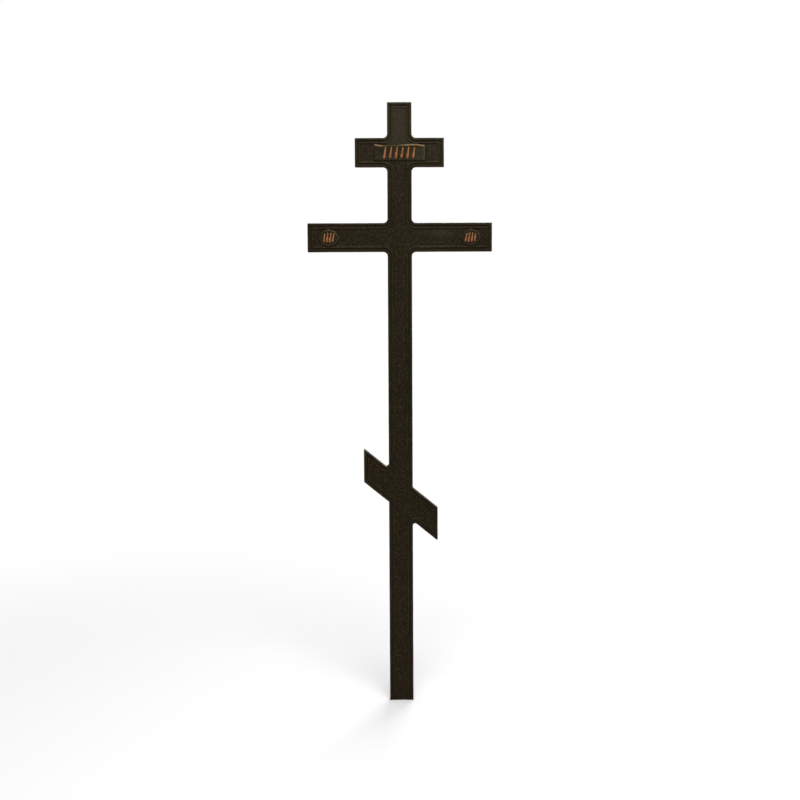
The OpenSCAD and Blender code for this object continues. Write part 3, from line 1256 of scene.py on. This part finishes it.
        # Painted sheen: the tablet's right-hand part is paler, standing in for reflected light.
        painted_sheen = self.least_sheen + (1.0 - self.least_sheen) * eased(t, *self.sheen_span)
        rows = surface.add(grid, wear_and_highlight, near * (1.0 - roll), painted_sheen)
        surface.join(quads(rows))
        loop = np.concatenate([rows[0, :-1], rows[:-1, -1], rows[-1, :0:-1], rows[:0:-1, 0]])
        edge = grid.reshape(-1, 3)[loop]
        edge[:, 1] = self.seat_y + self.sunk
        sole = surface.add(edge)
        ring = np.stack([np.append(loop, loop[0]), np.append(sole, sole[0])])
        surface.join(quads(ring))
        surface.cap(sole)
        return surface.piece("title_tablet_scroll", sharp=50.0)

    def marks(self) -> bpy.types.Object:
        """Make the row of leaning strokes, alternately long and a little shorter.

        Returns:
            The strokes, as one piece.
        """
        foot = self.low.z + self.under
        length = self.middle_z + self.turns[1][1] * self.span_h - 0.5 * self.lip_h - foot
        pitch = (self.length - 2.0 * self.bare) / (self.strokes - 1)
        made = []
        for i in range(self.strokes):
            x = self.low.x + self.bare + i * pitch
            long = length if i % 2 == 0 else self.short_stroke * length
            made.append(Stroke(x, foot + length / 2.0, long, STROKE_LEAN, self.stroke_w, self.stroke_d))
        face = self.seat_y - self.plate_t + self.stroke_sunk
        return Strokes(face).build("title_strokes", made)


@dataclass
class Medallion:
    """An eight-cornered plaque with a half-round rim, a domed face and a fan of strokes."""

    side: Side
    low: Vector
    high: Vector
    seat_y: float
    shoulder_x: float = 0.69
    shoulder_z: float = 0.68
    face_t: float = 0.004
    rim_w: float = 0.004
    rim_d: float = 0.002
    rim_foot: float = 1.3
    dome: float = 0.0007
    bare: float = 0.007
    strokes: int = 4
    pitch_share: float = 0.145
    fan: float = math.radians(3.0)
    shortening: float = 0.12
    stroke_w: float = 0.0075
    stroke_d: float = 0.0016
    # Painted highlight on the rim's upper right, standing in for light from above, over a little rubbing
    # all round.
    rim_wear_and_highlight: float = 0.5
    highlight_way: float = math.radians(55.0)
    unlit_share: float = 0.25
    # Painted sheen over the whole plaque.
    painted_sheen: float = 0.2
    edge_dirt: tuple[float, float] = (0.5, 0.3)
    corner_dirt_w: float = 0.12
    sunk: float = 0.0008
    around: int = 192
    soften: int = 5
    rim_steps: int = 12
    face_steps: int = 11

    def outline(self, insets: Array) -> Array:
        """The outline moved inwards: rays from the middle cut with the eight sides.

        A ray in direction d meets the side from p to q at (p cross q-p) over (d cross q-p). The
        distances are then averaged with their neighbours', which rounds the corners.

        Args:
            insets: How far in each ring lies.

        Returns:
            Points as ring, point and (x, z).
        """
        half = np.array([self.high.x - self.low.x, self.high.z - self.low.z]) / 2.0
        sx, sz = self.shoulder_x, self.shoulder_z
        unit = np.array([(1, 0), (sx, sz), (0, 1), (-sx, sz), (-1, 0), (-sx, -sz), (0, -1), (sx, -sz)])
        a = np.linspace(0.0, 2.0 * math.pi, self.around, endpoint=False)
        ray = np.stack([np.cos(a), np.sin(a)], axis=1)
        rings = []
        for inset in insets:
            p = unit * (half - inset)
            heading = np.mod(np.arctan2(p[:, 1], p[:, 0]), 2.0 * math.pi)
            k = np.searchsorted(heading, a, side="right") - 1
            side = np.roll(p, -1, axis=0)[k] - p[k]
            cross_p = p[k, 0] * side[:, 1] - p[k, 1] * side[:, 0]
            reach = cross_p / (ray[:, 0] * side[:, 1] - ray[:, 1] * side[:, 0])
            soft = sum(np.roll(reach, j) for j in range(-self.soften // 2 + 1, self.soften // 2 + 1))
            rings.append(ray * (soft / self.soften)[:, None])
        return np.array(rings)

    def build(self) -> bpy.types.Object:
        """Carry the plaque's section round its outline and close it in the middle.

        The section rises from the field, rounds over into the half-round rim, drops to the face
        and follows its dome: the dome's height times one less the squared share from the middle.
        Painted highlight makes the rim brightest on the side that faces up and to the right, over a little
        rubbing all round.

        Returns:
            The plaque.
        """
        top = self.face_t + self.rim_d
        a = np.radians(np.linspace(0.0, 180.0, self.rim_steps + 1))
        rim_in = self.rim_w / 2.0 * (1.0 - np.cos(a))
        rim_out = np.where(a < math.pi / 2.0, top - self.rim_foot * self.rim_d, self.face_t)
        rim_out = rim_out + (top - rim_out) * np.sin(a)
        middle = (self.high.z - self.low.z) / 2.0 - self.rim_w
        share = np.linspace(0.0, 1.0, self.face_steps + 1)[1:-1]
        face_in = self.rim_w + share * middle
        face_out = self.face_t + self.dome * (1.0 - (1.0 - share) ** 2)
        insets = np.concatenate([[0.0, 0.0], rim_in, face_in])
        out = np.concatenate([[-self.sunk, 0.5 * self.face_t], rim_out, face_out])
        flat = self.outline(insets)
        at = (self.low + self.high) / 2.0
        y = np.broadcast_to(self.seat_y - out[:, None], flat.shape[:2])
        grid = np.stack([at.x + flat[..., 0], y, at.z + flat[..., 1]], axis=-1)
        crest = np.concatenate([[0.0, 0.0], np.clip(np.sin(a), 0.0, 1.0), np.zeros(len(share))])
        round_it = np.linspace(0.0, 2.0 * math.pi, self.around, endpoint=False)
        # Painted highlight: strongest on the side of the rim that faces the light.
        lit_side = smooth(np.cos(round_it - self.highlight_way))
        wear_and_highlight = self.rim_wear_and_highlight * crest[:, None] * (self.unlit_share + (1.0 - self.unlit_share) * lit_side)
        grime = np.concatenate([self.edge_dirt, np.zeros(len(a)), hump(share, 0.0, self.corner_dirt_w)])
        surface = Surface()
        rows = surface.add(grid, wear_and_highlight, grime[:, None], self.painted_sheen)
        surface.join(quads(np.concatenate([rows, rows[:, :1]], axis=1)))
        centre = surface.add(np.array([[at.x, self.seat_y - self.face_t - self.dome, at.z]]))
        surface.fan(int(centre[0]), rows[-1])
        surface.cap(rows[0][::-1])
        return surface.piece(f"{self.side.node}_plaque", sharp=50.0)

    def marks(self) -> bpy.types.Object:
        """Make the row of strokes, shorter away from the middle, that fan out below or above.

        Returns:
            The strokes, as one piece.
        """
        at = (self.low + self.high) / 2.0
        length = self.high.z - self.low.z - 2.0 * (self.rim_w + self.bare)
        pitch = self.pitch_share * (self.high.x - self.low.x)
        made = []
        for i in range(self.strokes):
            away = i - (self.strokes - 1) / 2.0
            lean = STROKE_LEAN - self.side.value * self.fan * away
            long = length * (1.0 - self.shortening * abs(away))
            made.append(Stroke(at.x + away * pitch, at.z, long, lean, self.stroke_w, self.stroke_d))
        face = self.seat_y - self.face_t - 0.5 * self.dome
        return Strokes(face).build(f"{self.side.name.lower()}_strokes", made)


# ---- Studio -------------------------------------------------------------------------------


@dataclass(frozen=True)
class Softbox:
    """A square lamp that the camera doesn't see."""

    name: str
    place: tuple[float, float, float]
    aim: tuple[float, float, float]
    size: float
    watts: float
    colour: Colour = (1.0, 1.0, 1.0)

    def hang(self) -> None:
        """Put the lamp in its place and turn it to its aim."""
        lamp = bpy.data.lights.new(self.name, "AREA")
        lamp.size, lamp.energy, lamp.color = self.size, self.watts, self.colour
        holder = bpy.data.objects.new(self.name, lamp)
        bpy.context.scene.collection.objects.link(holder)
        towards = Vector(self.aim) - Vector(self.place)
        holder.location = self.place
        holder.rotation_euler = towards.to_track_quat("-Z", "Y").to_euler()
        holder.visible_camera = False


@dataclass
class Studio:
    """White surroundings, a pale floor, soft lamps and the camera."""

    surround: float = 0.50
    floor_half: float = 30.0
    floor_colour: Colour = (0.84, 0.84, 0.84)
    floor_rough: float = 0.9
    floor_gap: float = 0.0002
    clear: Ramp = Ramp(1.0, 3.0)
    eye: tuple[float, float, float] = (-0.0016, -5.0, 1.62)
    pitch: float = math.radians(6.782)
    roll: float = math.radians(0.266)
    lens: float = 68.12
    sensor: float = 36.0
    lamps: tuple[Softbox, ...] = (
        Softbox("window", (0.9, -5.0, 2.5), (0.0, 0.0, 1.5), 0.9, 18.0),
        Softbox("overhead", (0.3, -2.2, 4.3), (0.0, 0.0, 1.2), 2.0, 130.0),
        Softbox("back_fill", (1.2, 4.5, 3.2), (0.0, 0.0, 1.2), 2.2, 130.0),
    )

    def world(self) -> None:
        """White where the camera or a reflection looks, and a plain grey level as light."""
        world = bpy.data.worlds.new("studio")
        world.use_nodes = True
        tree = world.node_tree
        tree.nodes.clear()
        rays = tree.nodes.new("ShaderNodeLightPath")
        seen = rays.outputs["Is Camera Ray"]
        for name in ("Is Glossy Ray", "Is Transmission Ray"):
            either = tree.nodes.new("ShaderNodeMath")
            either.operation = "MAXIMUM"
            tree.links.new(seen, either.inputs[0])
            tree.links.new(rays.outputs[name], either.inputs[1])
            seen = either.outputs[0]
        mix = tree.nodes.new("ShaderNodeMixShader")
        tree.links.new(seen, mix.inputs["Fac"])
        for socket, strength in ((mix.inputs[1], self.surround), (mix.inputs[2], 1.0)):
            sky = tree.nodes.new("ShaderNodeBackground")
            sky.inputs["Color"].default_value = (1.0, 1.0, 1.0, 1.0)
            sky.inputs["Strength"].default_value = strength
            tree.links.new(sky.outputs[0], socket)
        out = tree.nodes.new("ShaderNodeOutputWorld")
        tree.links.new(mix.outputs[0], out.inputs["Surface"])
        bpy.context.scene.world = world

    def floor(self) -> None:
        """A pale floor that goes over into the white surroundings away from the object."""
        h = self.floor_half
        mesh = bpy.data.meshes.new("floor")
        mesh.from_pydata([(-h, -h, 0), (h, -h, 0), (h, h, 0), (-h, h, 0)], [], [(0, 1, 2, 3)])
        floor = bpy.data.objects.new("floor", mesh)
        bpy.context.scene.collection.objects.link(floor)
        floor.location.z = -self.floor_gap
        g = Graph("floor")
        g.wire((*self.floor_colour, 1.0), g.shader.inputs["Base Color"])
        g.wire(self.floor_rough, g.shader.inputs["Roughness"])
        away = g.tree.nodes.new("ShaderNodeVectorMath")
        away.operation = "LENGTH"
        g.wire(g.place, away.inputs[0])
        rays = g.tree.nodes.new("ShaderNodeLightPath")
        seen = rays.outputs["Is Camera Ray"]
        clear = g.maths("MULTIPLY", g.ramp(away.outputs["Value"], self.clear), seen)
        white = g.tree.nodes.new("ShaderNodeEmission")
        mix = g.tree.nodes.new("ShaderNodeMixShader")
        g.wire(clear, mix.inputs["Fac"])
        g.tree.links.new(g.shader.outputs["BSDF"], mix.inputs[1])
        g.tree.links.new(white.outputs[0], mix.inputs[2])
        g.tree.links.new(mix.outputs[0], g.output.inputs["Surface"])
        mesh.materials.append(g.material)

    def camera(self) -> None:
        """The camera, at eye height in front of the cross and looking a little down."""
        data = bpy.data.cameras.new("camera")
        data.sensor_width, data.lens = self.sensor, self.lens
        camera = bpy.data.objects.new("camera", data)
        bpy.context.scene.collection.objects.link(camera)
        level = Euler((math.pi / 2.0 - self.pitch, 0.0, 0.0)).to_matrix()
        camera.rotation_euler = (level @ Matrix.Rotation(-self.roll, 3, "Z")).to_euler()
        camera.location = self.eye
        bpy.context.scene.camera = camera

    def build(self) -> None:
        """Set up everything round the object."""
        bpy.context.scene.view_settings.view_transform = "Standard"
        self.camera()
        self.world()
        self.floor()
        for lamp in self.lamps:
            lamp.hang()


# ---- Putting it together ------------------------------------------------------------------


def dress(piece: bpy.types.Object, slot: Slot, material: bpy.types.Material, *nodes: str) -> None:
    """Give a piece its finish and its body, hide the CAD nodes it stands for and log its slot.

    Args:
        piece: The piece.
        slot: The material slot that it belongs to.
        material: Its finish.
        nodes: The CAD nodes that it stands for.
    """
    piece.data.materials.append(material)
    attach(piece, BODY)
    if nodes:
        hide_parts(*nodes)
    low, high = (piece.bound_box[corner] for corner in BOX_CORNERS)
    sizes = " x ".join(f"{1000.0 * (b - a):.1f}" for a, b in zip(low, high))
    log.info("%s: %d faces, %s mm, %s", piece.name, len(piece.data.polygons), sizes, slot.value)


def main() -> None:
    """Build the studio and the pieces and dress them."""
    logging.basicConfig(level=logging.INFO, format="%(name)s %(message)s", stream=sys.stdout)
    Studio().build()

    iron = IronFinish("blackened_iron").material()
    # The plaques' bright rubbed colour paints highlight on the tablet's lip, its right-hand roll and the
    # medallion rims, over a little rubbed gilt.
    plaque_iron = IronFinish(
        "plaque_coat",
        rubbed_and_highlight=(0.235, 0.150, 0.070),
        rub_and_highlight_specks=Ramp(0.38, 0.62, 0.6),
        rub_and_highlight_clouds=Ramp(0.36, 0.60, 0.68),
        dull_patches=Ramp(0.34, 0.66, 0.30, 0.46),
    ).material()
    copper = CopperFinish("copper_gilding").material()

    low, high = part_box("cross_body")
    tablet_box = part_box("title_tablet")
    medallion_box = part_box("left_medallion")
    seat_y = medallion_box[1].y
    plaque_h = medallion_box[1].z - medallion_box[0].z
    plaque_gap = 0.0005
    rim = RimSection(thickness=high.y - low.y)

    tablet = TitleTablet(*tablet_box, seat_y)
    panel = CrossPanel(
        low=low,
        high=high,
        main_z=(medallion_box[0].z + medallion_box[1].z) / 2.0,
        title_z=tablet.middle_z,
        bar_h=plaque_h + 2.0 * (rim.width + plaque_gap),
    )
    dress(panel.build(), Slot.BLACK_IRON, iron, "cross_body")
    dress(tablet.build(), Slot.PLAQUE_IRON, plaque_iron, "title_tablet")
    dress(tablet.marks(), Slot.COPPER_MARKS, copper)
    # The left rim gets more painted highlight than the right.
    for side, rim_wear_and_highlight in ((Side.LEFT, 0.6), (Side.RIGHT, 0.25)):
        medallion = Medallion(side, *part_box(side.node), seat_y, rim_wear_and_highlight=rim_wear_and_highlight)
        dress(medallion.build(), Slot.PLAQUE_IRON, plaque_iron, side.node)
        dress(medallion.marks(), Slot.COPPER_MARKS, copper)

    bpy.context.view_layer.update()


if __name__ == "__main__":
    main()
